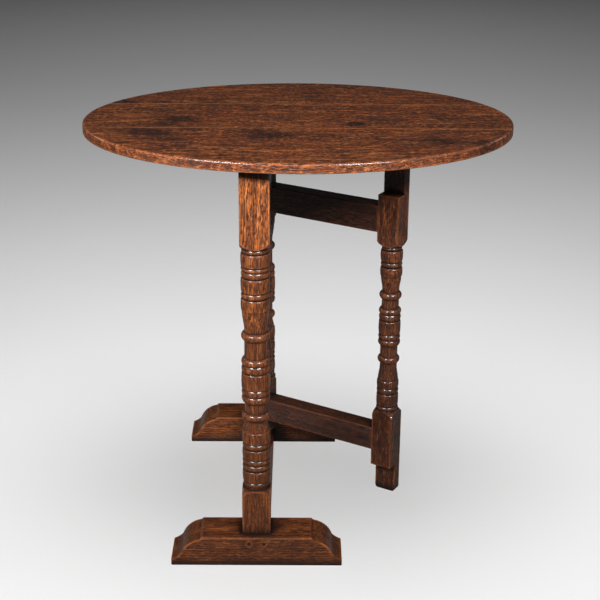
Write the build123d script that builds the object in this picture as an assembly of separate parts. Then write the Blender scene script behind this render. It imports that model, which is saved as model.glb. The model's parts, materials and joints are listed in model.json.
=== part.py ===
"""Oval tilt top table with one swinging gate leg, in oak.

Frame: +Z up, origin on the floor under the centre of the top. The top's long axis
and the grain of its boards lie along X. The trestle frame lies in the plane
X = FRAME_X, from the front foot (-Y) to the rear foot (+Y). The gate is drawn
partly open, under the +X half of the top.
"""
from build123d import *
import math
import os

# ------------------------------------------------------------ driving dimensions
TABLE_HEIGHT = 601.0

TOP_LENGTH = 612.0
TOP_WIDTH = 490.0
TOP_THICKNESS = 13.6
TOP_UPPER_ROUND = 3.0
TOP_LOWER_ROUND = 1.2
BOARD_JOINT_YS = (-57.0, 92.0)

FRAME_X = -56.5
EDGE_ROUND = 0.9

FOOT_LENGTH = 245.0
FOOT_THICKNESS = 59.0
FOOT_HEIGHT = 44.4
FOOT_OUTER_Y = 221.5
FOOT_TIP_HEIGHT = 9.0
FOOT_COVE_RUN = 13.3
FOOT_COVE_RISE = 8.6
FOOT_OVOLO_RUN = 27.7
FOOT_OVOLO_RISE = 23.4
FOOT_QUIRK_RUN = 3.3
FOOT_EDGE_ROUND = 1.8
# Where each arc of the foot's outline passes, as shares of its run and rise.
FOOT_COVE_BOW = (0.42, 0.28)
FOOT_OVOLO_BOW = (0.34, 0.62)

POST_WIDTH = 40.2
POST_Y = 190.0
POST_TENON_X = 27.0
POST_TENON_Y = 22.0
POST_TENON_DEPTH = 35.0

PIVOT_BELOW_TOP = 24.0
POST_CORNER_RADIUS = POST_WIDTH / 2

TOP_RAIL_WIDTH = 35.0
TOP_RAIL_BOTTOM = 491.0
TOP_RAIL_TOP = 542.0
RAIL_TENON_THICKNESS = 12.0
RAIL_TENON_SHOULDER = 6.0
RAIL_TENON_DEPTH = 26.0

STRETCHER_WIDTH = 36.0
STRETCHER_BOTTOM = 6.0
STRETCHER_BEVEL_START = 18.0
STRETCHER_TOP = 48.6
STRETCHER_TOP_WIDTH = 15.4
STRETCHER_TENON_WIDTH = 16.0
STRETCHER_TENON_BOTTOM = 12.0
STRETCHER_TENON_HEIGHT = 22.0
STRETCHER_TENON_DEPTH = 12.0

PEG_DIAMETER = 6.4
FOOT_PEG_SPACING = 21.0
FOOT_PEG_HEIGHT = 34.6
FOOT_PEG_DEPTH = 30.0
RAIL_PEG_HEIGHTS = (503.0, 530.0)
RAIL_PEG_INSET = 10.0

GATE_POST_WIDTH = 34.0
GATE_REACH = 229.6
GATE_PIVOT_Y = 118.0
GATE_OPEN_ANGLE = 59.0
GATE_BLOCK_BOTTOM = 49.4
GATE_BLOCK_TOP = 490.4
GATE_TONGUE_THICKNESS = 15.6
GATE_TONGUE_CORNER = 5.0
GATE_TOP_GAP = 0.25
GATE_RAIL_THICKNESS = 27.6
GATE_LOWER_RAIL = (74.8, 112.4)
GATE_UPPER_RAIL = (432.8, 473.3)
GATE_TENON_THICKNESS = 10.0
GATE_TENON_SHOULDER = 5.0
GATE_TENON_DEPTH = 20.0
GATE_NOTCH_CLEARANCE = 1.5
GATE_PIN_DIAMETER = 9.0
GATE_PIN_IN_POST = 20.0
GATE_PIN_IN_FRAME = 22.0

TILT_PIN_DIAMETER = 14.0
TILT_PIN_IN_BEARER = 20.0
TILT_PIN_IN_POST = 22.0
BEARER_RADIUS = 19.4
BEARER_END_GAP = 0.5
GATE_GAP_IN_BEARERS = 4.0
SCREW_DIAMETER = 4.0
SCREW_HEAD_DIAMETER = 8.0
SCREW_HEAD_HEIGHT = 2.6
SCREW_LENGTH = 34.0
SCREW_COUNTERBORE = 9.0
SCREW_IN_TOP = 9.0
SCREW_PLACES = ((-9.0, -141.0), (9.0, -141.0), (0.0, -72.0), (0.0, -5.0), (0.0, 62.0), (0.0, 132.0))

RUNNING_CLEARANCE = 0.08
END_CLEARANCE = 0.5

# How far a lathe blank stands past the corners of its square blocks, and how far a
# cut runs past the face it opens.
BLANK_MARGIN = 1.3
OVERCUT = 1.0

# ------------------------------------------------------------ worked-out places
TOP_UNDERSIDE = TABLE_HEIGHT - TOP_THICKNESS
PIVOT_Z = TOP_UNDERSIDE - PIVOT_BELOW_TOP
POST_TOP = PIVOT_Z + POST_CORNER_RADIUS
POST_INNER_Y = POST_Y - POST_WIDTH / 2
FOOT_Y = FOOT_OUTER_Y - FOOT_THICKNESS / 2
FOOT_INNER_Y = FOOT_OUTER_Y - FOOT_THICKNESS
GATE_FOLDED_Y = GATE_PIVOT_Y - GATE_REACH
GATE_DIRECTION = GATE_OPEN_ANGLE - 90.0
NOTCH_X = FRAME_X + GATE_POST_WIDTH / 2 - GATE_TONGUE_THICKNESS - GATE_NOTCH_CLEARANCE
NOTCH_LENGTH = GATE_POST_WIDTH + 2 * GATE_NOTCH_CLEARANCE

# A barrel's rounded ends, and how far its middle stands out past them.
BARREL_SHOULDER = 2.8
BARREL_SWELL = 0.35

# Turned elements, from the floor up: (shape, height of its top end, crest radius,
# radius of its top end). A "round" is one arc through its crest, a "barrel" is a drum
# with rounded shoulders, an "ogee" is an S between two upright ends, and a "straight"
# is a plain run.
POST_SHOULDERS = (98.0, 488.0)
POST_TURNING = (
    ("round", 113.8, 27.4, 17.4),
    ("straight", 117.0, 0, 17.4),
    ("round", 123.8, 18.9, 17.4),
    ("barrel", 142.0, 19.5, 17.6),
    ("round", 151.2, 19.7, 17.6),
    ("round", 159.8, 19.6, 17.6),
    ("barrel", 175.6, 19.5, 17.6),
    ("round", 184.0, 19.4, 17.8),
    ("barrel", 203.0, 19.6, 18.2),
    ("ogee", 219.5, 0, 15.5),
    ("round", 231.5, 19.8, 15.6),
    ("straight", 246.0, 0, 15.6),
    ("round", 257.3, 19.9, 18.0),
    ("round", 267.0, 19.8, 18.2),
    ("barrel", 291.8, 19.8, 18.2),
    ("round", 302.8, 19.8, 18.0),
    ("round", 314.0, 19.9, 15.7),
    ("straight", 339.3, 0, 15.6),
    ("round", 351.8, 19.9, 15.4),
    ("ogee", 383.0, 0, 18.7),
    ("barrel", 401.0, 19.6, 17.6),
    ("round", 409.8, 19.4, 17.6),
    ("barrel", 430.6, 19.5, 17.6),
    ("round", 440.0, 19.3, 17.4),
    ("round", 446.2, 19.3, 17.6),
    ("barrel", 465.8, 19.4, 17.4),
    ("round", 471.6, 18.5, 17.2),
    ("round", 488.0, 26.2, 29.7),
)

GATE_SHOULDERS = (133.0, 421.6)
GATE_TURNING = (
    ("round", 144.6, 22.4, 15.8),
    ("round", 151.6, 16.9, 14.6),
    ("barrel", 172.4, 16.6, 14.8),
    ("round", 181.8, 16.8, 15.0),
    ("barrel", 194.5, 16.5, 15.6),
    ("ogee", 217.0, 0, 13.0),
    ("straight", 223.4, 0, 13.1),
    ("round", 234.8, 16.8, 13.2),
    ("straight", 251.5, 0, 13.2),
    ("round", 262.2, 16.8, 15.0),
    ("round", 271.0, 16.6, 14.9),
    ("barrel", 293.3, 16.4, 14.8),
    ("round", 303.4, 16.5, 14.8),
    ("round", 313.6, 16.8, 12.9),
    ("straight", 327.2, 0, 12.9),
    ("round", 339.2, 16.8, 12.6),
    ("ogee", 364.0, 0, 15.3),
    ("barrel", 378.8, 16.4, 13.9),
    ("round", 387.3, 16.1, 13.9),
    ("barrel", 405.8, 16.4, 13.6),
    ("round", 410.6, 15.0, 14.0),
    ("round", 421.6, 21.6, 25.0),
)


# ------------------------------------------------------------ helpers
def turned_blank(shoulders, turning, corner_radius, bottom, top):
    """A lathe blank: two full round ends joined by the turned elements."""
    low, high = shoulders
    here = Vector(corner_radius, 0, low)
    edges = [
        Line((0, 0, bottom), (corner_radius, 0, bottom)),
        Line((corner_radius, 0, bottom), here),
    ]
    for shape, end_height, crest, end_radius in turning:
        end = Vector(end_radius, 0, end_height)
        if shape == "round":
            middle = (crest, 0, (here.Z + end.Z) / 2)
            edges.append(ThreePointArc(here, middle, end))
        elif shape == "barrel":
            edges += barrel(here, crest, end)
        elif shape == "ogee":
            edges.append(Spline(here, end, tangents=[(0, 0, 1), (0, 0, 1)]))
        else:
            edges.append(Line(here, end))
        here = end
    edges.append(Line(here, (corner_radius, 0, high)))
    edges.append(Line((corner_radius, 0, high), (corner_radius, 0, top)))
    edges.append(Line((corner_radius, 0, top), (0, 0, top)))
    edges.append(Line((0, 0, top), (0, 0, bottom)))
    return revolve(make_face(edges), Axis.Z, 360)


def barrel(bottom, crest, top):
    """The outline of a drum with a rounded shoulder at each end."""
    low = Vector(crest, 0, bottom.Z + BARREL_SHOULDER)
    high = Vector(crest, 0, top.Z - BARREL_SHOULDER)
    swell = (crest + BARREL_SWELL, 0, (low.Z + high.Z) / 2)
    return [
        ThreePointArc(bottom, shoulder_bow(bottom, low), low),
        ThreePointArc(low, swell, high),
        ThreePointArc(high, shoulder_bow(top, high), top),
    ]


def shoulder_bow(end, crest):
    """The middle of a quarter round that leaves end flat and reaches crest upright."""
    near = 1 - math.sqrt(0.5)
    x = end.X + (1 - near) * (crest.X - end.X)
    z = end.Z + near * (crest.Z - end.Z)
    return (x, 0, z)


def square_prism(width, bottom, top):
    """An upright square bar with eased corners."""
    sketch = Plane.XY.offset(bottom) * RectangleRounded(width, width, EDGE_ROUND)
    return extrude(sketch, amount=top - bottom)


def block(x, y, z):
    """A box given by its (low, high) extents along each axis."""
    size = [high - low for low, high in (x, y, z)]
    centre = [(high + low) / 2 for low, high in (x, y, z)]
    return Pos(*centre) * Box(*size)


def rod(diameter, start, end):
    """A cylinder between two points."""
    start = Vector(*start)
    direction = Vector(*end) - start
    plane = Plane(origin=start, z_dir=direction)
    return extrude(plane * Circle(diameter / 2), amount=direction.length)


def eased(solid, axis):
    """Ease a bar's four long edges."""
    return fillet(solid.edges().filter_by(axis), EDGE_ROUND)


def quarter_waste(radius, half):
    """What stands past a radius about the tilt axis, above the axis and on its +Y side."""
    reach = half + OVERCUT
    waste = block((-reach, reach), (0, reach), (PIVOT_Z, PIVOT_Z + radius + OVERCUT))
    end = reach + OVERCUT
    return waste - rod(2 * radius, (-end, 0, PIVOT_Z), (end, 0, PIVOT_Z))


def gate_place(shape):
    """Move a shape drawn in the gate's own frame to where the gate stands.

    In that frame the pivot is the origin, +X runs towards the leg and +Y is the
    side of the tongues.
    """
    return Pos(FRAME_X, GATE_PIVOT_Y, 0) * Rot(0, 0, GATE_DIRECTION) * shape


# ------------------------------------------------------------ the fixed frame
def foot_profile():
    """End-to-end outline of a sledge foot, with a cove, an ovolo and a quirk."""
    half = FOOT_LENGTH / 2
    cove_end = (half - FOOT_COVE_RUN, FOOT_TIP_HEIGHT + FOOT_COVE_RISE)
    ovolo_end = (cove_end[0] - FOOT_OVOLO_RUN, cove_end[1] + FOOT_OVOLO_RISE)
    flat_end = (ovolo_end[0] - FOOT_QUIRK_RUN, FOOT_HEIGHT)
    cove_middle = (
        half - FOOT_COVE_BOW[0] * FOOT_COVE_RUN,
        FOOT_TIP_HEIGHT + FOOT_COVE_BOW[1] * FOOT_COVE_RISE,
    )
    ovolo_middle = (
        cove_end[0] - FOOT_OVOLO_BOW[0] * FOOT_OVOLO_RUN,
        cove_end[1] + FOOT_OVOLO_BOW[1] * FOOT_OVOLO_RISE,
    )
    right = [
        Line((half, 0), (half, FOOT_TIP_HEIGHT)),
        ThreePointArc((half, FOOT_TIP_HEIGHT), cove_middle, cove_end),
        ThreePointArc(cove_end, ovolo_middle, ovolo_end),
        Line(ovolo_end, flat_end),
    ]
    left = [mirror(edge, Plane.YZ) for edge in right]
    joins = [
        Line((-half, 0), (half, 0)),
        Line(flat_end, (-flat_end[0], flat_end[1])),
    ]
    return make_face(right + left + joins)


def foot(side):
    """A sledge foot. side is -1 at the front and 1 at the rear."""
    far_side = side * FOOT_Y + FOOT_THICKNESS / 2
    plane = Plane(origin=(FRAME_X, far_side, 0), z_dir=(0, -1, 0), x_dir=(1, 0, 0))
    body = extrude(plane * foot_profile(), amount=FOOT_THICKNESS)
    crown = body.edges().filter_by(Axis.X).group_by(Axis.Z)[-1]
    tips = body.edges().filter_by(Axis.Z)
    body = fillet(crown + tips, FOOT_EDGE_ROUND)
    body -= post_tenon(side)
    body -= stretcher_tenon(side)
    for peg in foot_pegs(side):
        body -= peg
    return body


def post_tenon(side):
    """The post's tenon, which is also the waste of its mortise in the foot."""
    half_x = POST_TENON_X / 2
    y = side * POST_Y
    return block(
        (FRAME_X - half_x, FRAME_X + half_x),
        (y - POST_TENON_Y / 2, y + POST_TENON_Y / 2),
        (FOOT_HEIGHT - POST_TENON_DEPTH, FOOT_HEIGHT),
    )


def stretcher_tenon(side):
    """The low stretcher's stub tenon in a foot."""
    inner = side * FOOT_INNER_Y
    outer = side * (FOOT_INNER_Y + STRETCHER_TENON_DEPTH)
    half = STRETCHER_TENON_WIDTH / 2
    return block(
        (FRAME_X - half, FRAME_X + half),
        (min(inner, outer), max(inner, outer)),
        (STRETCHER_TENON_BOTTOM, STRETCHER_TENON_BOTTOM + STRETCHER_TENON_HEIGHT),
    )


def rail_tenon(side):
    """The top rail's tenon in a post."""
    inner = side * POST_INNER_Y
    outer = side * (POST_INNER_Y + RAIL_TENON_DEPTH)
    half = RAIL_TENON_THICKNESS / 2
    return block(
        (FRAME_X - half, FRAME_X + half),
        (min(inner, outer), max(inner, outer)),
        (TOP_RAIL_BOTTOM + RAIL_TENON_SHOULDER, TOP_RAIL_TOP - RAIL_TENON_SHOULDER),
    )


def foot_pegs(side):
    """Two pegs driven through the foot's outer face and the post's tenon."""
    pegs = []
    for offset in (-FOOT_PEG_SPACING / 2, FOOT_PEG_SPACING / 2):
        start = (FRAME_X + offset, side * FOOT_OUTER_Y, FOOT_PEG_HEIGHT)
        end = (FRAME_X + offset, side * (FOOT_OUTER_Y - FOOT_PEG_DEPTH), FOOT_PEG_HEIGHT)
        pegs.append(rod(PEG_DIAMETER, start, end))
    return pegs


def rail_pegs(side):
    """Two pegs across the post, through the top rail's tenon."""
    y = side * (POST_INNER_Y + RAIL_PEG_INSET)
    half = POST_WIDTH / 2
    pegs = []
    for z in RAIL_PEG_HEIGHTS:
        pegs.append(rod(PEG_DIAMETER, (FRAME_X - half, y, z), (FRAME_X + half, y, z)))
    return pegs


def tilt_pin_bore(side):
    """The blind running hole for a tilt pin in a post."""
    inner = side * (POST_INNER_Y - OVERCUT)
    outer = side * (POST_INNER_Y + TILT_PIN_IN_POST + END_CLEARANCE)
    diameter = TILT_PIN_DIAMETER + 2 * RUNNING_CLEARANCE
    return rod(diameter, (FRAME_X, inner, PIVOT_Z), (FRAME_X, outer, PIVOT_Z))


def fixed_post(side):
    """A turned post, tenoned into its foot, its top rounded for the tilting top."""
    corner = POST_WIDTH / math.sqrt(2) + BLANK_MARGIN
    blank = turned_blank(POST_SHOULDERS, POST_TURNING, corner, FOOT_HEIGHT, POST_TOP)
    post = blank & square_prism(POST_WIDTH, FOOT_HEIGHT, POST_TOP)
    post -= Rot(0, 0, -90) * quarter_waste(POST_CORNER_RADIUS, POST_WIDTH / 2)
    post = Pos(FRAME_X, side * POST_Y, 0) * post
    post += post_tenon(side)
    post -= rail_tenon(side)
    post -= tilt_pin_bore(side)
    for peg in rail_pegs(side) + foot_pegs(side):
        post -= peg
    return post


def gate_notch(bottom, top):
    """Where the folded gate leg's tongue passes through a frame member."""
    return block(
        (NOTCH_X, FRAME_X + POST_WIDTH),
        (GATE_FOLDED_Y - NOTCH_LENGTH / 2, GATE_FOLDED_Y + NOTCH_LENGTH / 2),
        (bottom, top),
    )


def gate_pin_bore(start, end):
    """A running hole for a gate pivot pin, with room past the pin's end."""
    past_end = END_CLEARANCE if end > start else -END_CLEARANCE
    diameter = GATE_PIN_DIAMETER + 2 * RUNNING_CLEARANCE
    return rod(diameter, (FRAME_X, GATE_PIVOT_Y, start), (FRAME_X, GATE_PIVOT_Y, end + past_end))


def low_stretcher():
    """The bevelled bar between the feet, which carries the gate's lower pin."""
    half = STRETCHER_WIDTH / 2
    half_top = STRETCHER_TOP_WIDTH / 2
    outline = Polyline(
        (-half, STRETCHER_BOTTOM),
        (half, STRETCHER_BOTTOM),
        (half, STRETCHER_BEVEL_START),
        (half_top, STRETCHER_TOP),
        (-half_top, STRETCHER_TOP),
        (-half, STRETCHER_BEVEL_START),
        close=True,
    )
    plane = Plane(origin=(FRAME_X, FOOT_INNER_Y, 0), z_dir=(0, -1, 0), x_dir=(1, 0, 0))
    bar = eased(extrude(plane * make_face(outline), amount=2 * FOOT_INNER_Y), Axis.Y)
    bar -= gate_notch(0, STRETCHER_TOP + OVERCUT)
    bar -= gate_pin_bore(GATE_BLOCK_BOTTOM, GATE_BLOCK_BOTTOM - GATE_PIN_IN_FRAME)
    for side in (-1, 1):
        bar += stretcher_tenon(side)
    return bar


def top_rail():
    """The deep rail between the posts, which carries the gate's upper pin."""
    half = TOP_RAIL_WIDTH / 2
    bar = block(
        (FRAME_X - half, FRAME_X + half),
        (-POST_INNER_Y, POST_INNER_Y),
        (TOP_RAIL_BOTTOM, TOP_RAIL_TOP),
    )
    bar = eased(bar, Axis.Y)
    bar -= gate_notch(TOP_RAIL_BOTTOM - OVERCUT, TOP_RAIL_TOP + OVERCUT)
    bar -= gate_pin_bore(GATE_BLOCK_TOP, GATE_BLOCK_TOP + GATE_PIN_IN_FRAME)
    for side in (-1, 1):
        tenon = rail_tenon(side)
        for peg in rail_pegs(side):
            tenon -= peg
        bar += tenon
    return bar


# ------------------------------------------------------------ the gate
def gate_blank(bottom, top):
    """A gate post before its joints are cut, standing at the origin."""
    corner = GATE_POST_WIDTH / math.sqrt(2) + BLANK_MARGIN
    blank = turned_blank(GATE_SHOULDERS, GATE_TURNING, corner, bottom, top)
    return blank & square_prism(GATE_POST_WIDTH, bottom, top)


def gate_rail_side():
    """Near and far sides of a gate rail, across the gate."""
    near = -GATE_POST_WIDTH / 2
    return near, near + GATE_RAIL_THICKNESS


def gate_tenon(levels, start, end):
    """A gate rail's tenon between two places along the gate."""
    near, far = gate_rail_side()
    middle = (near + far) / 2
    bottom, top = levels
    return block(
        (start, end),
        (middle - GATE_TENON_THICKNESS / 2, middle + GATE_TENON_THICKNESS / 2),
        (bottom + GATE_TENON_SHOULDER, top - GATE_TENON_SHOULDER),
    )


def gate_rail(levels):
    """A plain rail, tenoned into both gate posts."""
    near, far = gate_rail_side()
    start = GATE_POST_WIDTH / 2
    end = GATE_REACH - GATE_POST_WIDTH / 2
    rail = eased(block((start, end), (near, far), levels), Axis.X)
    rail += gate_tenon(levels, start - GATE_TENON_DEPTH, start)
    rail += gate_tenon(levels, end, end + GATE_TENON_DEPTH)
    return gate_place(rail)


def gate_pin(start, end):
    """A steel pin on the gate's pivot line."""
    return gate_place(rod(GATE_PIN_DIAMETER, (0, 0, start), (0, 0, end)))


def gate_bottom_pin():
    start = GATE_BLOCK_BOTTOM + GATE_PIN_IN_POST
    return gate_pin(start, GATE_BLOCK_BOTTOM - GATE_PIN_IN_FRAME)


def gate_top_pin():
    start = GATE_BLOCK_TOP - GATE_PIN_IN_POST
    return gate_pin(start, GATE_BLOCK_TOP + GATE_PIN_IN_FRAME)


def gate_pivot_post():
    """The turned post that the gate swings on. It stops short of the floor."""
    start = GATE_POST_WIDTH / 2
    post = gate_blank(GATE_BLOCK_BOTTOM, GATE_BLOCK_TOP)
    for levels in (GATE_LOWER_RAIL, GATE_UPPER_RAIL):
        post -= gate_tenon(levels, start - GATE_TENON_DEPTH, start)
    post = gate_place(post)
    post -= gate_bottom_pin()
    post -= gate_top_pin()
    return post


def gate_leg():
    """The turned leg that reaches the floor and the top.

    Past its two square blocks only a tongue of half its thickness goes on, which
    lies in the notches of the frame when the gate is folded. The tongue's top is
    rounded, so that the top can tilt past the folded gate.
    """
    half = GATE_POST_WIDTH / 2
    top = TOP_UNDERSIDE - GATE_TOP_GAP
    leg = gate_blank(0, top)
    reach = half + OVERCUT
    waste_side = (-reach, half - GATE_TONGUE_THICKNESS)
    for levels in ((-OVERCUT, GATE_BLOCK_BOTTOM), (GATE_BLOCK_TOP, top + OVERCUT)):
        leg -= block((-reach, reach), waste_side, levels)
    leg -= quarter_waste(top - PIVOT_Z, half)
    leg = fillet(lowest_outer_edge(leg), GATE_TONGUE_CORNER)
    leg = Pos(GATE_REACH, 0, 0) * leg
    end = GATE_REACH - half
    for levels in (GATE_LOWER_RAIL, GATE_UPPER_RAIL):
        leg -= gate_tenon(levels, end, end + GATE_TENON_DEPTH)
    return gate_place(leg)


def lowest_outer_edge(leg):
    """The bottom edge of the leg on its outer side, away from the pivot."""
    edges = leg.edges().filter_by(Axis.Y).group_by(Axis.Z)[0]
    return edges.sort_by(Axis.X)[-1]


# ------------------------------------------------------------ the tilting top
def oval_top():
    """The whole oval before it is parted into its three boards."""
    sketch = Plane.XY.offset(TOP_UNDERSIDE) * Ellipse(TOP_LENGTH / 2, TOP_WIDTH / 2)
    top = extrude(sketch, amount=TOP_THICKNESS)
    rims = top.edges().sort_by(Axis.Z)
    top = fillet(rims[-1], TOP_UPPER_ROUND)
    rims = top.edges().sort_by(Axis.Z)
    return fillet(rims[0], TOP_LOWER_ROUND)


def screw(x, y):
    """A countersunk wood screw, standing head down in the bearer."""
    head_z = TOP_UNDERSIDE + SCREW_IN_TOP - SCREW_LENGTH
    tip_z = TOP_UNDERSIDE + SCREW_IN_TOP
    neck_z = head_z + SCREW_HEAD_HEIGHT
    head_radius = SCREW_HEAD_DIAMETER / 2
    radius = SCREW_DIAMETER / 2
    outline = Polyline(
        (0, 0, head_z),
        (head_radius, 0, head_z),
        (radius, 0, neck_z),
        (radius, 0, tip_z - radius),
        (0, 0, tip_z),
        close=True,
    )
    return Pos(FRAME_X + x, y, 0) * revolve(make_face(outline), Axis.Z, 360)


def screw_access(x, y):
    """The counterbore that takes a screw's head up into the bearer."""
    head_z = TOP_UNDERSIDE + SCREW_IN_TOP - SCREW_LENGTH
    bottom = PIVOT_Z - BEARER_RADIUS - OVERCUT
    return rod(SCREW_COUNTERBORE, (FRAME_X + x, y, bottom), (FRAME_X + x, y, head_z))


def bearer(y_low, y_high, pin):
    """A cleat under the top, half round below so that it can turn between the posts."""
    radius = BEARER_RADIUS
    outline = [
        Line((-radius, PIVOT_BELOW_TOP), (radius, PIVOT_BELOW_TOP)),
        Line((radius, PIVOT_BELOW_TOP), (radius, 0)),
        ThreePointArc((radius, 0), (0, -radius), (-radius, 0)),
        Line((-radius, 0), (-radius, PIVOT_BELOW_TOP)),
    ]
    plane = Plane(origin=(FRAME_X, y_high, PIVOT_Z), z_dir=(0, -1, 0), x_dir=(1, 0, 0))
    bar = extrude(plane * make_face(outline), amount=y_high - y_low)
    bar -= pin
    for x, y in SCREW_PLACES:
        if y_low < y < y_high:
            bar -= screw_access(x, y)
            bar -= screw(x, y)
    return bar


def tilt_pin(side):
    """A wooden pin fixed in a bearer's end, turning in the post."""
    bearer_end = POST_INNER_Y - BEARER_END_GAP
    inner = side * (bearer_end - TILT_PIN_IN_BEARER)
    outer = side * (POST_INNER_Y + TILT_PIN_IN_POST)
    return rod(TILT_PIN_DIAMETER, (FRAME_X, inner, PIVOT_Z), (FRAME_X, outer, PIVOT_Z))


# ------------------------------------------------------------ writing
def save(name, *solids):
    shape = solids[0] if len(solids) == 1 else Compound(children=list(solids))
    shape.label = name
    export_step(shape, f"parts/{name}.step")


def save_frame():
    for side, name in ((-1, "front"), (1, "rear")):
        save(f"{name}_foot", foot(side))
        save(f"{name}_post", fixed_post(side))
        save(f"{name}_foot_pegs", *foot_pegs(side))
        save(f"{name}_rail_pegs", *rail_pegs(side))
    save("low_stretcher", low_stretcher())
    save("top_rail", top_rail())


def save_gate():
    save("gate_pivot_post", gate_pivot_post())
    save("gate_leg", gate_leg())
    save("gate_lower_rail", gate_rail(GATE_LOWER_RAIL))
    save("gate_upper_rail", gate_rail(GATE_UPPER_RAIL))
    save("gate_bottom_pin", gate_bottom_pin())
    save("gate_top_pin", gate_top_pin())


def save_top():
    screws = [screw(x, y) for x, y in SCREW_PLACES]
    whole = oval_top()
    for piece in screws:
        whole -= piece
    limits = (-TOP_WIDTH, *BOARD_JOINT_YS, TOP_WIDTH)
    levels = (TOP_UNDERSIDE - OVERCUT, TABLE_HEIGHT + OVERCUT)
    for name, low, high in zip(("front", "middle", "rear"), limits, limits[1:]):
        strip = block((-TOP_LENGTH, TOP_LENGTH), (low, high), levels)
        save(f"top_board_{name}", whole & strip)
    end = POST_INNER_Y - BEARER_END_GAP
    gap = NOTCH_LENGTH / 2 + GATE_GAP_IN_BEARERS
    save("front_bearer", bearer(-end, GATE_FOLDED_Y - gap, tilt_pin(-1)))
    save("rear_bearer", bearer(GATE_FOLDED_Y + gap, end, tilt_pin(1)))
    save("front_tilt_pin", tilt_pin(-1))
    save("rear_tilt_pin", tilt_pin(1))
    save("bearer_screws", *screws)


os.makedirs("parts", exist_ok=True)
save_frame()
save_gate()
save_top()
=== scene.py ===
"""Looks of the tilt top table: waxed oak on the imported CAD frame, a pale floor and soft light."""
import json
import math

import bpy
from mathutils import Matrix, Vector


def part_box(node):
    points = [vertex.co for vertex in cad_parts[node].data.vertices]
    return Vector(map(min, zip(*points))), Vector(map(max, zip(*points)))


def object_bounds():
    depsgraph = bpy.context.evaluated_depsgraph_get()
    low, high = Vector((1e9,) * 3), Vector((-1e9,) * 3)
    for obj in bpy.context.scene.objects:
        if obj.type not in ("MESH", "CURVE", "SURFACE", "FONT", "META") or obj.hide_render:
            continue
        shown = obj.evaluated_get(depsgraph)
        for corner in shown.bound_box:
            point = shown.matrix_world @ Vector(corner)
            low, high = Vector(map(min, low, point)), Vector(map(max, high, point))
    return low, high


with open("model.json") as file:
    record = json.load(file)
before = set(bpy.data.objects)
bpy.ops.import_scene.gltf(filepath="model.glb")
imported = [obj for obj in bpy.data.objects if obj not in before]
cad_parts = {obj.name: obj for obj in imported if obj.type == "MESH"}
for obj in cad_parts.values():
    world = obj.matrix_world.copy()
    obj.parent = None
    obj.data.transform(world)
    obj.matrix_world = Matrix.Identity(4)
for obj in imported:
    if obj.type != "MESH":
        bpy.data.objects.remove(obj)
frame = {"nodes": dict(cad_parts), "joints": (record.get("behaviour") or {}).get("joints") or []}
cad_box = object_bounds()
nodes = frame["nodes"]
scene = bpy.context.scene

# ------------------------------------------------------------ places from the frame
X_AXIS = Vector((1, 0, 0))
Y_AXIS = Vector((0, 1, 0))
Z_AXIS = Vector((0, 0, 1))


def middle(name):
    low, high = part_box(name)
    return (low + high) / 2


HINGES = {joint["name"]: Vector(joint["pos_m"]) for joint in frame["joints"]}
GATE_PIVOT = HINGES["gate_swing"]
GATE_LEG = middle("gate_leg")
GATE_ALONG = (GATE_LEG - GATE_PIVOT).to_2d().normalized().to_3d()
FRAME_X = GATE_PIVOT.x
TABLE_HEIGHT = cad_box[1].z
POST_YS = {name: sum(v.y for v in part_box(name)) / 2 for name in ("front_post", "rear_post")}

# Grain origins: the heights on the axes of the frame's posts and of the gate's.
POST_ORIGIN_Z = 0.3
GATE_ORIGIN_Z = 0.28


# ------------------------------------------------------------ node tree helper
class Graph:
    """Builds the node tree of a material or a world.

    Every input may be a number, a tuple or a socket.
    """

    def __init__(self, owner):
        owner.use_nodes = True
        self.owner = owner
        self.tree = owner.node_tree
        self.tree.nodes.clear()

    def node(self, kind, inputs=None, **settings):
        made = self.tree.nodes.new(kind)
        for key, value in settings.items():
            setattr(made, key, value)
        for key, value in (inputs or {}).items():
            self.plug(made.inputs[key], value)
        return made

    def plug(self, socket, value):
        if isinstance(value, bpy.types.NodeSocket):
            self.tree.links.new(value, socket)
        elif value is not None:
            socket.default_value = value

    def math(self, operation, a, b=None, c=None):
        made = self.node("ShaderNodeMath", {0: a, 1: b, 2: c}, operation=operation)
        return made.outputs[0]

    def vector(self, operation, a, b=None):
        made = self.node("ShaderNodeVectorMath", {0: a, 1: b}, operation=operation)
        return made.outputs["Value" if operation in ("DOT_PRODUCT", "LENGTH") else "Vector"]

    def combine(self, x, y, z):
        return self.node("ShaderNodeCombineXYZ", {0: x, 1: y, 2: z}).outputs[0]

    def noise(self, vector, detail=2.0, roughness=0.5, distortion=0.0):
        inputs = {
            "Vector": vector,
            "Scale": 1.0,
            "Detail": detail,
            "Roughness": roughness,
            "Distortion": distortion,
        }
        return self.node("ShaderNodeTexNoise", inputs).outputs["Fac"]

    def occlusion(self, distance, inside=False):
        """1 in the open, falling to 0 in a recess, or at a sharp edge when looking inside."""
        inputs = {"Distance": distance}
        made = self.node("ShaderNodeAmbientOcclusion", inputs, inside=inside, samples=6)
        return made.outputs["AO"]

    def remap(self, value, low, high, to_low=0.0, to_high=1.0):
        """A smooth step of value from low to high."""
        inputs = {
            "Value": value,
            "From Min": low,
            "From Max": high,
            "To Min": to_low,
            "To Max": to_high,
        }
        made = self.node("ShaderNodeMapRange", inputs, interpolation_type="SMOOTHSTEP")
        return made.outputs["Result"]

    def mix(self, factor, a, b):
        """A colour from a to b. The mix node's colour sockets are found by place."""
        made = self.node("ShaderNodeMix", data_type="RGBA")
        self.plug(made.inputs[0], factor)
        self.plug(made.inputs[6], a)
        self.plug(made.inputs[7], b)
        return made.outputs[2]

    def finish(self, shader, kind="ShaderNodeOutputMaterial"):
        output = self.node(kind)
        self.tree.links.new(shader.outputs[0], output.inputs[0])
        return self.owner


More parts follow.
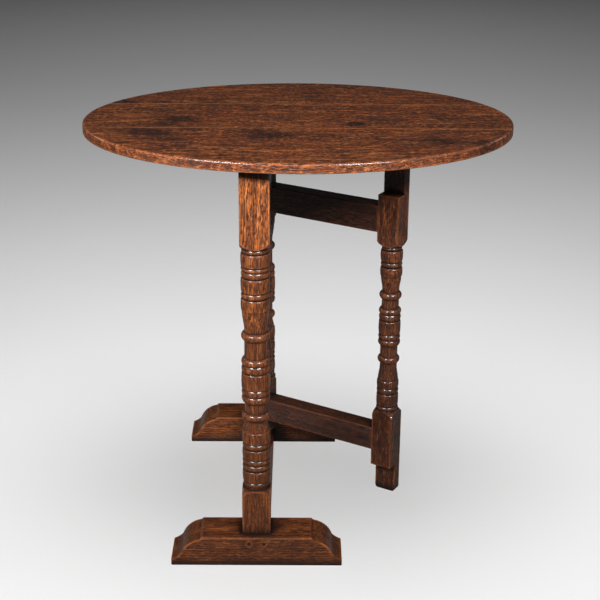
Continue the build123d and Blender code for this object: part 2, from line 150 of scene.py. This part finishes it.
def colour(red, green, blue):
    """An sRGB colour, 0 to 255, as linear RGBA."""
    linear = []
    for channel in (red, green, blue):
        share = channel / 255
        linear.append(share / 12.92 if share <= 0.04045 else ((share + 0.055) / 1.055) ** 2.4)
    return (*linear, 1.0)


# ------------------------------------------------------------ oak
# The tones of each group of pieces, from worn high spots to the pores. The stain tone
# also darkens the wood near the floor, partly as dust and partly as painted shade, and
# the pore tone is painted as shade into hollows and fine grooves.
TONES = {
    "top": {
        "worn": colour(172, 102, 55),
        "light": colour(147, 75, 33),
        "late": colour(86, 41, 19),
        "stain_and_shade": colour(46, 21, 13),
        "pore_and_shade": colour(22, 11, 8),
    },
    "frame": {
        "worn": colour(182, 106, 54),
        "light": colour(158, 86, 39),
        "late": colour(94, 45, 19),
        "stain_and_shade": colour(52, 24, 11),
        "pore_and_shade": colour(18, 8, 5),
    },
    "gate": {
        "worn": colour(140, 77, 39),
        "light": colour(104, 54, 27),
        "late": colour(63, 30, 15),
        "stain_and_shade": colour(36, 17, 10),
        "pore_and_shade": colour(13, 6, 4),
    },
    # The gate's oak painted darker for its rails: painted shade.
    "shaded_rail": {
        "worn": colour(104, 56, 30),
        "light": colour(82, 41, 21),
        "late": colour(52, 25, 14),
        "stain_and_shade": colour(28, 14, 9),
        "pore_and_shade": colour(11, 6, 4),
    },
    "peg": {
        "worn": colour(60, 31, 17),
        "light": colour(48, 24, 13),
        "late": colour(32, 16, 9),
        "stain_and_shade": colour(20, 10, 7),
        "pore_and_shade": colour(9, 5, 4),
    },
}

# The wood's noises: features to the metre along and across the grain, a shift that sets
# each apart, then detail, roughness and distortion.
NOISES = {
    "drift": (2.6, 9.0, 0.0, 2.0, 0.5, 0.0),
    "wander": (14.0, 45.0, 5.0, 3.0, 0.6, 0.0),
    "ripple": (60.0, 190.0, 6.0, 3.0, 0.6, 0.0),
    "streaks": (9.0, 330.0, 2.0, 4.0, 0.7, 0.0),
    "lines": (16.0, 860.0, 4.0, 3.0, 0.7, 0.0),
    "pores": (90.0, 1080.0, 0.0, 2.0, 0.6, 0.0),
    "bands": (4.0, 85.0, 9.0, 3.0, 0.6, 0.0),
    "fleck": (60.0, 150.0, 7.0, 2.0, 0.55, 1.6),
    "patch": (6.0, 20.0, 11.0, 4.0, 0.6, 0.0),
    "smoke": (20.0, 75.0, 13.0, 4.0, 0.65, 0.0),
    "mottle": (165.0, 150.0, 19.0, 3.0, 0.7, 0.0),
    "knot_gaps": (130.0, 170.0, 17.0, 3.0, 0.7, 0.0),
}

# Growth rings: their spacing, and how far slow drift and quicker wander bend them, in metres.
RING_SPACING = 0.0034
RING_DRIFT = 0.045
RING_WANDER = 0.012

# Knots: how many rings each turns aside, half the spacing of its curls in metres, its
# squeeze along the grain, and its raggedness. The reaches are in knot radii.
KNOT_RINGS = 3.0
KNOT_CURL = 0.0045
KNOT_SQUEEZE = 0.72
KNOT_WANDER = 2.6
KNOT_RIPPLE = 2.2
KNOT_RING_REACH = 2.6
KNOT_HEART = (0.6, 1.5)
KNOT_CURLS = (1.2, 3.0)

# How far, in metres, worn edges are looked for, and the hollows and fine grooves that
# get painted shade; the heights between which the darkening near the floor, partly dust
# and partly painted shade, fades out, how much it darkens the wood at the lower one,
# and the depth of the grain's relief.
EDGE_REACH = 0.004
HOLLOW_SHADE_REACH = 0.016
GROOVE_SHADE_REACH = 0.004
DUST_AND_SHADE_HEIGHTS = (0.02, 0.52)
DUST_AND_SHADE_SHARE = 0.42
RELIEF = 0.0003

# The posts' lathe work and the block below it are made darker than the block above:
# the heights this lies between, how softly it ends, in metres, and how much it darkens.
POST_DARKER_SPAN = (0.048, 0.478)
DARKER_SPAN_FADE = 0.004
DARKER_SPAN_SHARE = 0.34


class Grain:
    """Coordinates of a piece of wood: u along its grain, v and w across it, in metres."""

    def __init__(self, graph, origin, along, across):
        self.g = graph
        self.place = graph.node("ShaderNodeTexCoord").outputs["Object"]
        local = graph.vector("SUBTRACT", self.place, tuple(origin))
        axes = (along, across, along.cross(across))
        self.u, self.v, self.w = (graph.vector("DOT_PRODUCT", local, tuple(axis)) for axis in axes)
        self.seed = 10.0 * (origin.x + 2.0 * origin.y + 3.0 * origin.z) + 3.0

    def noise(self, kind):
        along, across, shift, detail, roughness, distortion = NOISES[kind]
        g = self.g
        offset = self.seed + shift
        spot = g.combine(
            g.math("MULTIPLY_ADD", self.u, along, offset),
            g.math("MULTIPLY_ADD", self.v, across, offset * 1.7),
            g.math("MULTIPLY_ADD", self.w, across, offset * 0.6),
        )
        return g.noise(spot, detail, roughness, distortion)


def growth_rings(g, grain, pith, wander):
    """How many rings out from the pith a point lies."""
    drift = g.math("SUBTRACT", grain.noise("drift"), 0.5)
    bend = g.math("MULTIPLY_ADD", wander, RING_WANDER, g.math("MULTIPLY", drift, RING_DRIFT))
    dv = g.math("ADD", g.math("SUBTRACT", grain.v, pith[0]), bend)
    dw = g.math("ADD", g.math("SUBTRACT", grain.w, pith[1]), bend)
    return g.math("DIVIDE", g.vector("LENGTH", g.combine(dv, dw, 0.0)), RING_SPACING)


def knot_figure(g, grain, knots, wander, rings):
    """The rings turned aside by the knots, the knots' dark hearts, and the curls round them."""
    ripple = g.math("SUBTRACT", grain.noise("ripple"), 0.5)
    hearts = 0.0
    curls = 0.0
    for u, v, w, size, darkness in knots:
        du = g.math("MULTIPLY", g.math("SUBTRACT", grain.u, u), KNOT_SQUEEZE)
        offset = g.combine(du, g.math("SUBTRACT", grain.v, v), g.math("SUBTRACT", grain.w, w))
        far = g.math("MULTIPLY_ADD", wander, size * KNOT_WANDER, g.vector("LENGTH", offset))
        far = g.math("MULTIPLY_ADD", ripple, size * KNOT_RIPPLE, far)
        aside = g.remap(far, 0.0, size * KNOT_RING_REACH, 1.0, 0.0)
        rings = g.math("MULTIPLY_ADD", aside, KNOT_RINGS, rings)
        heart = g.remap(far, size * KNOT_HEART[0], size * KNOT_HEART[1], darkness, 0.0)
        hearts = g.math("MAXIMUM", heart, hearts)
        line = g.remap(g.math("PINGPONG", far, KNOT_CURL), 0.0, KNOT_CURL)
        near = g.remap(far, size * KNOT_CURLS[0], size * KNOT_CURLS[1], darkness, 0.0)
        curls = g.math("MAXIMUM", g.math("MULTIPLY", line, near), curls)
    return rings, hearts, curls


def wear_and_shade(g, grain, shade, tones, smoke, waxy):
    """Painted shade with dust near the floor, a darker band of heights, edges rubbed light, and
    painted shade in hollows.
    """
    floor_height = g.vector("DOT_PRODUCT", grain.place, tuple(Z_AXIS))
    # Darker towards the floor: partly dust, partly painted shade of the light falling off lower
    # down.
    shade = g.mix(g.remap(floor_height, *DUST_AND_SHADE_HEIGHTS, DUST_AND_SHADE_SHARE, 0.0), shade, tones["stain_and_shade"])
    if waxy:
        above = g.remap(floor_height, waxy[0], waxy[0] + DARKER_SPAN_FADE, 0.0, DARKER_SPAN_SHARE)
        below = g.remap(floor_height, waxy[1] - DARKER_SPAN_FADE, waxy[1], 1.0, 0.0)
        shade = g.mix(g.math("MULTIPLY", above, below), shade, tones["stain_and_shade"])
    edge = g.remap(g.occlusion(EDGE_REACH, inside=True), 0.95, 0.55, 0.0, 0.5)
    shade = g.mix(g.math("MULTIPLY", edge, g.remap(smoke, 0.35, 0.6)), shade, tones["worn"])
    # Painted shade: the darkest tone in hollows and where pieces meet.
    hollow_shade = g.remap(g.occlusion(HOLLOW_SHADE_REACH), 0.62, 0.98, 1.0, 0.0)
    shade = g.mix(hollow_shade, shade, tones["pore_and_shade"])
    # Painted shade: the darkest tone in fine grooves, as between the turned beads.
    groove_shade = g.remap(g.occlusion(GROOVE_SHADE_REACH), 0.58, 0.95, 0.95, 0.0)
    return g.mix(groove_shade, shade, tones["pore_and_shade"])


def oak(
    name, tones, origin, along, across, pith,
    knots=(), figure=0.5, streaky=1.0, mottled=0.55, waxy=None,
):
    """Waxed oak with its grain along one axis, and painted shade near the floor and in hollows.

    origin is a point of the piece, along and across are unit vectors, and pith is the
    log's centre, across and through the piece, in metres. knots are (along, across,
    through, radius, darkness) from origin, in metres. figure is how much of the silvery
    ray fleck shows, streaky how strong the lines of the grain are, and mottled how
    blotchy the old finish is. The last argument is the (low, high) height band made darker.
    """
    g = Graph(bpy.data.materials.new(name))
    grain = Grain(g, origin, along, across)
    wander = g.math("SUBTRACT", grain.noise("wander"), 0.5)
    rings = growth_rings(g, grain, pith, wander)
    rings, hearts, curls = knot_figure(g, grain, knots, wander, rings)
    season = g.math("FRACT", rings)
    early = g.math("MULTIPLY", g.remap(season, 0.0, 0.12), g.remap(season, 0.62, 0.3))

    streaks = g.remap(grain.noise("streaks"), 0.36, 0.64)
    lines = g.remap(grain.noise("lines"), 0.44, 0.58)
    pores = g.remap(g.math("MULTIPLY_ADD", early, 0.08, grain.noise("pores")), 0.52, 0.60)
    bands = g.remap(grain.noise("bands"), 0.38, 0.62)
    fleck = g.remap(grain.noise("fleck"), 0.57, 0.66, 0.0, figure)
    patch = grain.noise("patch")
    smoke = grain.noise("smoke")
    mottle = grain.noise("mottle")

    # from the ground tone up: how much of each layer shows, and its tone
    layers = [
        (g.math("MULTIPLY", bands, 0.5 * streaky), "late"),
        (g.math("MULTIPLY", streaks, 0.6 * streaky), "late"),
        (g.math("MULTIPLY", early, 0.35), "late"),
        (g.remap(patch, 0.44, 0.70, 0.0, 0.60), "stain_and_shade"),
        (g.remap(smoke, 0.50, 0.70, 0.0, 0.50), "stain_and_shade"),
        (g.remap(smoke, 0.48, 0.34, 0.0, 0.60), "worn"),
        (g.math("MULTIPLY", fleck, 0.7), "worn"),
        (g.remap(mottle, 0.50, 0.66, 0.0, 0.75 * mottled), "stain_and_shade"),
        (g.remap(mottle, 0.47, 0.34, 0.0, 0.60 * mottled), "worn"),
        (g.math("MULTIPLY", lines, 0.64 * streaky), "stain_and_shade"),
        (g.math("MULTIPLY", pores, 0.88), "pore_and_shade"),
    ]
    if knots:
        gaps = g.remap(grain.noise("knot_gaps"), 0.40, 0.50, 0.15, 1.0)
        layers.append((g.math("MULTIPLY", curls, 0.6), "stain_and_shade"))
        layers.append((g.math("MULTIPLY", hearts, gaps), "pore_and_shade"))
    shade = tones["light"]
    for share, tone in layers:
        shade = g.mix(share, shade, tones[tone])
    shade = wear_and_shade(g, grain, shade, tones, smoke, waxy)

    height = g.math("MULTIPLY_ADD", pores, -0.7, g.math("MULTIPLY", streaks, 0.20))
    height = g.math("MULTIPLY_ADD", lines, -0.15, height)
    height = g.math("MULTIPLY_ADD", patch, 1.2, height)
    bump = g.node("ShaderNodeBump", {"Strength": 0.6, "Distance": RELIEF, "Height": height})
    dulled = g.remap(smoke, 0.3, 0.75, 0.30, 0.46)
    shader = g.node(
        "ShaderNodeBsdfPrincipled",
        {
            "Base Color": shade,
            "Roughness": g.math("MULTIPLY_ADD", pores, 0.2, dulled),
            "Normal": bump.outputs[0],
            "IOR": 1.48,
            "Specular IOR Level": 0.2,
            "Coat Weight": 0.5,
            "Coat Roughness": 0.12,
            "Coat IOR": 1.45,
        },
    )
    return g.finish(shader)


# ------------------------------------------------------------ steel
STEEL = colour(150, 146, 140)
TARNISH = colour(84, 66, 52)
TURNING_MARKS = (400.0, 400.0, 2600.0)
TARNISH_SPOTS = (160.0, 160.0, 160.0)
TURNING_DEPTH = 0.0001


def worn_steel(name):
    """Dull drawn steel with fine turning marks and a little tarnish."""
    g = Graph(bpy.data.materials.new(name))
    place = g.node("ShaderNodeTexCoord").outputs["Object"]
    marks = g.noise(g.vector("MULTIPLY", place, TURNING_MARKS), 3.0, 0.6)
    tarnish = g.noise(g.vector("MULTIPLY", place, TARNISH_SPOTS), 4.0, 0.6)
    relief = {"Strength": 0.3, "Distance": TURNING_DEPTH, "Height": marks}
    bump = g.node("ShaderNodeBump", relief)
    shader = g.node(
        "ShaderNodeBsdfPrincipled",
        {
            "Base Color": g.mix(g.remap(tarnish, 0.45, 0.72, 0.0, 0.7), STEEL, TARNISH),
            "Metallic": 1.0,
            "Roughness": g.remap(tarnish, 0.3, 0.8, 0.32, 0.6),
            "Normal": bump.outputs[0],
        },
    )
    return g.finish(shader)


# ------------------------------------------------------------ what each piece is made of
# Knots and dark curls in the top's boards: (x, y, radius) in metres, and darkness.
TOP_KNOTS = (
    (-0.261, 0.097, 0.011, 0.9),
    (-0.205, 0.098, 0.009, 0.6),
    (-0.170, -0.008, 0.018, 0.9),
    (-0.188, -0.034, 0.009, 0.9),
    (-0.206, -0.088, 0.021, 0.9),
    (-0.147, -0.068, 0.011, 0.8),
    (-0.172, -0.123, 0.010, 0.7),
    (-0.038, -0.102, 0.019, 0.9),
    (-0.060, -0.078, 0.010, 0.7),
    (0.081, -0.033, 0.009, 1.0),
    (0.113, 0.002, 0.013, 0.5),
    (0.188, -0.122, 0.019, 0.8),
    (0.252, -0.135, 0.014, 0.8),
    (0.020, 0.170, 0.014, 0.5),
    (0.120, 0.070, 0.010, 0.5),
)

# Where the log's centre lay: across and through each piece, from its grain's origin.
TOP_PITHS = {
    "top_board_front": (-0.03, -0.11),
    "top_board_middle": (0.05, -0.16),
    "top_board_rear": (0.0, -0.09),
}
POST_PITH = (0.04, 0.07)
FOOT_PITH = (0.02, -0.06)
BAR_PITH = (0.05, -0.06)
GATE_POST_PITH = (0.05, 0.03)
GATE_RAIL_PITH = (0.03, 0.08)
PEG_PITH = (0.002, 0.001)


def dress(name, material):
    mesh = nodes[name].data
    mesh.materials.clear()
    mesh.materials.append(material)


def dress_oak(name, tones, origin, along, across, pith, **character):
    dress(name, oak(name, TONES[tones], origin, along, across, pith, **character))


def dress_top():
    for name, pith in TOP_PITHS.items():
        low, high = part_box(name)
        origin = Vector((0.0, (low.y + high.y) / 2, TABLE_HEIGHT))
        knots = []
        for x, y, size, darkness in TOP_KNOTS:
            if low.y < y < high.y:
                knots.append((x, y - origin.y, 0.0, size, darkness))
        character = {"knots": knots, "figure": 0.3, "streaky": 1.2, "mottled": 1.0}
        dress_oak(name, "top", origin, X_AXIS, Y_AXIS, pith, **character)


def dress_frame():
    for name, y in POST_YS.items():
        origin = Vector((FRAME_X, y, POST_ORIGIN_Z))
        dress_oak(name, "frame", origin, Z_AXIS, X_AXIS, POST_PITH, waxy=POST_DARKER_SPAN)
    for name in ("front_foot", "rear_foot"):
        dress_oak(name, "frame", middle(name), X_AXIS, Y_AXIS, FOOT_PITH)
    for name in ("low_stretcher", "top_rail", "front_bearer", "rear_bearer"):
        dress_oak(name, "frame", middle(name), Y_AXIS, X_AXIS, BAR_PITH)


def dress_gate():
    for name, axis in (("gate_pivot_post", GATE_PIVOT), ("gate_leg", GATE_LEG)):
        origin = Vector((axis.x, axis.y, GATE_ORIGIN_Z))
        dress_oak(name, "gate", origin, Z_AXIS, GATE_ALONG, GATE_POST_PITH, figure=1.0)
    for name in ("gate_lower_rail", "gate_upper_rail"):
        # The rails take the darker tones: painted shade.
        dress_oak(name, "shaded_rail", middle(name), GATE_ALONG, Z_AXIS, GATE_RAIL_PITH, figure=0.6)


def dress_small():
    for name in ("front_foot_pegs", "rear_foot_pegs", "front_tilt_pin", "rear_tilt_pin"):
        dress_oak(name, "peg", middle(name), Y_AXIS, X_AXIS, PEG_PITH)
    for name in ("front_rail_pegs", "rear_rail_pegs"):
        dress_oak(name, "peg", middle(name), X_AXIS, Y_AXIS, PEG_PITH)
    steel = worn_steel("steel")
    for name in ("gate_bottom_pin", "gate_top_pin", "bearer_screws"):
        dress(name, steel)


# ------------------------------------------------------------ floor
FLOOR_HALF = 20.0
FLOOR_GAP = 0.0003
FLOOR_PATCHES = (3.0, 3.0, 3.0)
FLOOR_TONES = (colour(226, 226, 226), colour(230, 230, 230))
# The floor sends less light back on to the table than a floor as pale as it looks.
FLOOR_BOUNCE_TONE = colour(120, 118, 116)


def make_floor():
    half = FLOOR_HALF
    mesh = bpy.data.meshes.new("floor")
    corners = [(-half, -half, 0), (half, -half, 0), (half, half, 0), (-half, half, 0)]
    mesh.from_pydata(corners, [], [(0, 1, 2, 3)])
    floor = bpy.data.objects.new("floor", mesh)
    floor.location.z = -FLOOR_GAP
    scene.collection.objects.link(floor)
    g = Graph(bpy.data.materials.new("pale_floor"))
    place = g.node("ShaderNodeTexCoord").outputs["Object"]
    patches = g.noise(g.vector("MULTIPLY", place, FLOOR_PATCHES), 2.0)
    seen = g.node("ShaderNodeLightPath").outputs["Is Camera Ray"]
    tint = g.mix(seen, FLOOR_BOUNCE_TONE, g.mix(patches, *FLOOR_TONES))
    matt = {"Base Color": tint, "Roughness": 0.75, "Specular IOR Level": 0.2}
    mesh.materials.append(g.finish(g.node("ShaderNodeBsdfPrincipled", matt)))
    return floor


# ------------------------------------------------------------ light
# The table's lamps: azimuth and elevation in degrees, distance and width in metres,
# power in watts, spread in degrees.
TABLE_LAMPS = {
    "key": (-36, 27, 2.1, 0.9, 9.8, 52),
    "second": (28, 27, 2.1, 0.9, 8.2, 52),
    "left_back_fill": (-122, 24, 2.3, 0.6, 3.2, 180),
    "right_back_fill": (122, 24, 2.3, 0.6, 3.2, 180),
}
TABLE_LAMP_HEIGHT = 0.26
TABLE_LAMP_TINT = (0.94, 0.97, 1.0)
AIM_SHARE = 0.9

# The floor's lamps: place and aim in metres, and power in watts. The table blocks the
# light of SHADOW_LAMP alone.
FLOOR_LAMP = ((0, -0.6, 2.3), (0, 0.2, 0), 45)
SHADOW_LAMP = ((0, -0.1, 2.5), (0, 0.3, 0), 32)
FAR_LAMP_SIDES = {"back": (0, 1), "front": (0, -1), "left": (-1, 0), "right": (1, 0)}
FAR_LAMP_REACH = 4.2
FAR_LAMP_HEIGHT = 2.8
FAR_LAMP_AIM = 3.0
FAR_LAMP_POWER = 7.6
FLOOR_LAMP_SIZE = (1.5, 1.5)
WIDE_OPEN = 180

WORLD_GLOW = (0.028, 0.028, 0.028, 1)
BACKDROP = colour(100, 100, 100)


def group(name, pieces):
    made = bpy.data.collections.new(name)
    for piece in pieces:
        made.objects.link(piece)
    return made


def soft_box(name, place, aim, size, power, spread, lights, shades=None, tint=(1, 1, 1)):
    """A rectangular soft light, (width, height) in size, that lights only some pieces.

    shades are the pieces that cast shadows in its light, all of them when not given.
    """
    place, aim = Vector(place), Vector(aim)
    light = bpy.data.lights.new(name, "AREA")
    light.shape = "RECTANGLE"
    light.size, light.size_y = size
    light.energy = power
    light.spread = math.radians(spread)
    light.color = tint
    lamp = bpy.data.objects.new(name, light)
    lamp.location = place
    lamp.rotation_mode = "QUATERNION"
    lamp.rotation_quaternion = (aim - place).to_track_quat("-Z", "Y")
    scene.collection.objects.link(lamp)
    lamp.light_linking.receiver_collection = group(name + "_lights", lights)
    if shades is not None:
        lamp.light_linking.blocker_collection = group(name + "_shades", shades)


def light_table():
    table = list(nodes.values())
    aim = Vector((0, 0, TABLE_HEIGHT * AIM_SHARE))
    for name, (azimuth, elevation, distance, width, power, spread) in TABLE_LAMPS.items():
        a, e = math.radians(azimuth), math.radians(elevation)
        away = Vector((math.sin(a) * math.cos(e), -math.cos(a) * math.cos(e), math.sin(e)))
        size = (width, TABLE_LAMP_HEIGHT)
        place = aim + away * distance
        soft_box(name, place, aim, size, power, spread, table, tint=TABLE_LAMP_TINT)


def light_floor(floor):
    place, aim, power = FLOOR_LAMP
    soft_box("floor_light", place, aim, FLOOR_LAMP_SIZE, power, WIDE_OPEN, [floor], [floor])
    place, aim, power = SHADOW_LAMP
    soft_box("shadow_light", place, aim, FLOOR_LAMP_SIZE, power, WIDE_OPEN, [floor])
    for side, (x, y) in FAR_LAMP_SIDES.items():
        name = side + "_floor_light"
        place = (FAR_LAMP_REACH * x, FAR_LAMP_REACH * y, FAR_LAMP_HEIGHT)
        aim = (FAR_LAMP_AIM * x, FAR_LAMP_AIM * y, 0)
        soft_box(name, place, aim, FLOOR_LAMP_SIZE, FAR_LAMP_POWER, WIDE_OPEN, [floor], [floor])


def make_world():
    """A little light from all round, and a mid grey backdrop past the floor's edge."""
    g = Graph(bpy.data.worlds.new("studio"))
    seen = g.node("ShaderNodeLightPath").outputs["Is Camera Ray"]
    backdrop = g.node("ShaderNodeBackground", {"Color": g.mix(seen, WORLD_GLOW, BACKDROP)})
    scene.world = g.finish(backdrop, "ShaderNodeOutputWorld")


# ------------------------------------------------------------ camera
# The camera's place in metres, its turns in degrees, its lens and sensor in millimetres,
# and how far it sees, in metres.
CAMERA_PLACE = Vector((-0.0005, -1.8404, 1.0379))
CAMERA_PITCH = 21.23
CAMERA_YAW = -0.15
CAMERA_ROLL = 0.34
CAMERA_LENS = 78.7
CAMERA_SENSOR = 36.0
CAMERA_SEES = 60.0


def make_camera():
    data = bpy.data.cameras.new("camera")
    data.lens = CAMERA_LENS
    data.sensor_width = CAMERA_SENSOR
    data.clip_end = CAMERA_SEES
    camera = bpy.data.objects.new("camera", data)
    turn = Matrix.Rotation(math.radians(CAMERA_YAW), 4, "Z")
    tip = Matrix.Rotation(math.radians(90 - CAMERA_PITCH), 4, "X")
    roll = Matrix.Rotation(math.radians(CAMERA_ROLL), 4, "Z")
    camera.matrix_world = Matrix.Translation(CAMERA_PLACE) @ turn @ tip @ roll
    scene.collection.objects.link(camera)
    scene.camera = camera


# ------------------------------------------------------------ the scene
dress_top()
dress_frame()
dress_gate()
dress_small()
light_table()
light_floor(make_floor())
make_world()
make_camera()
scene.view_settings.view_transform = "Standard"
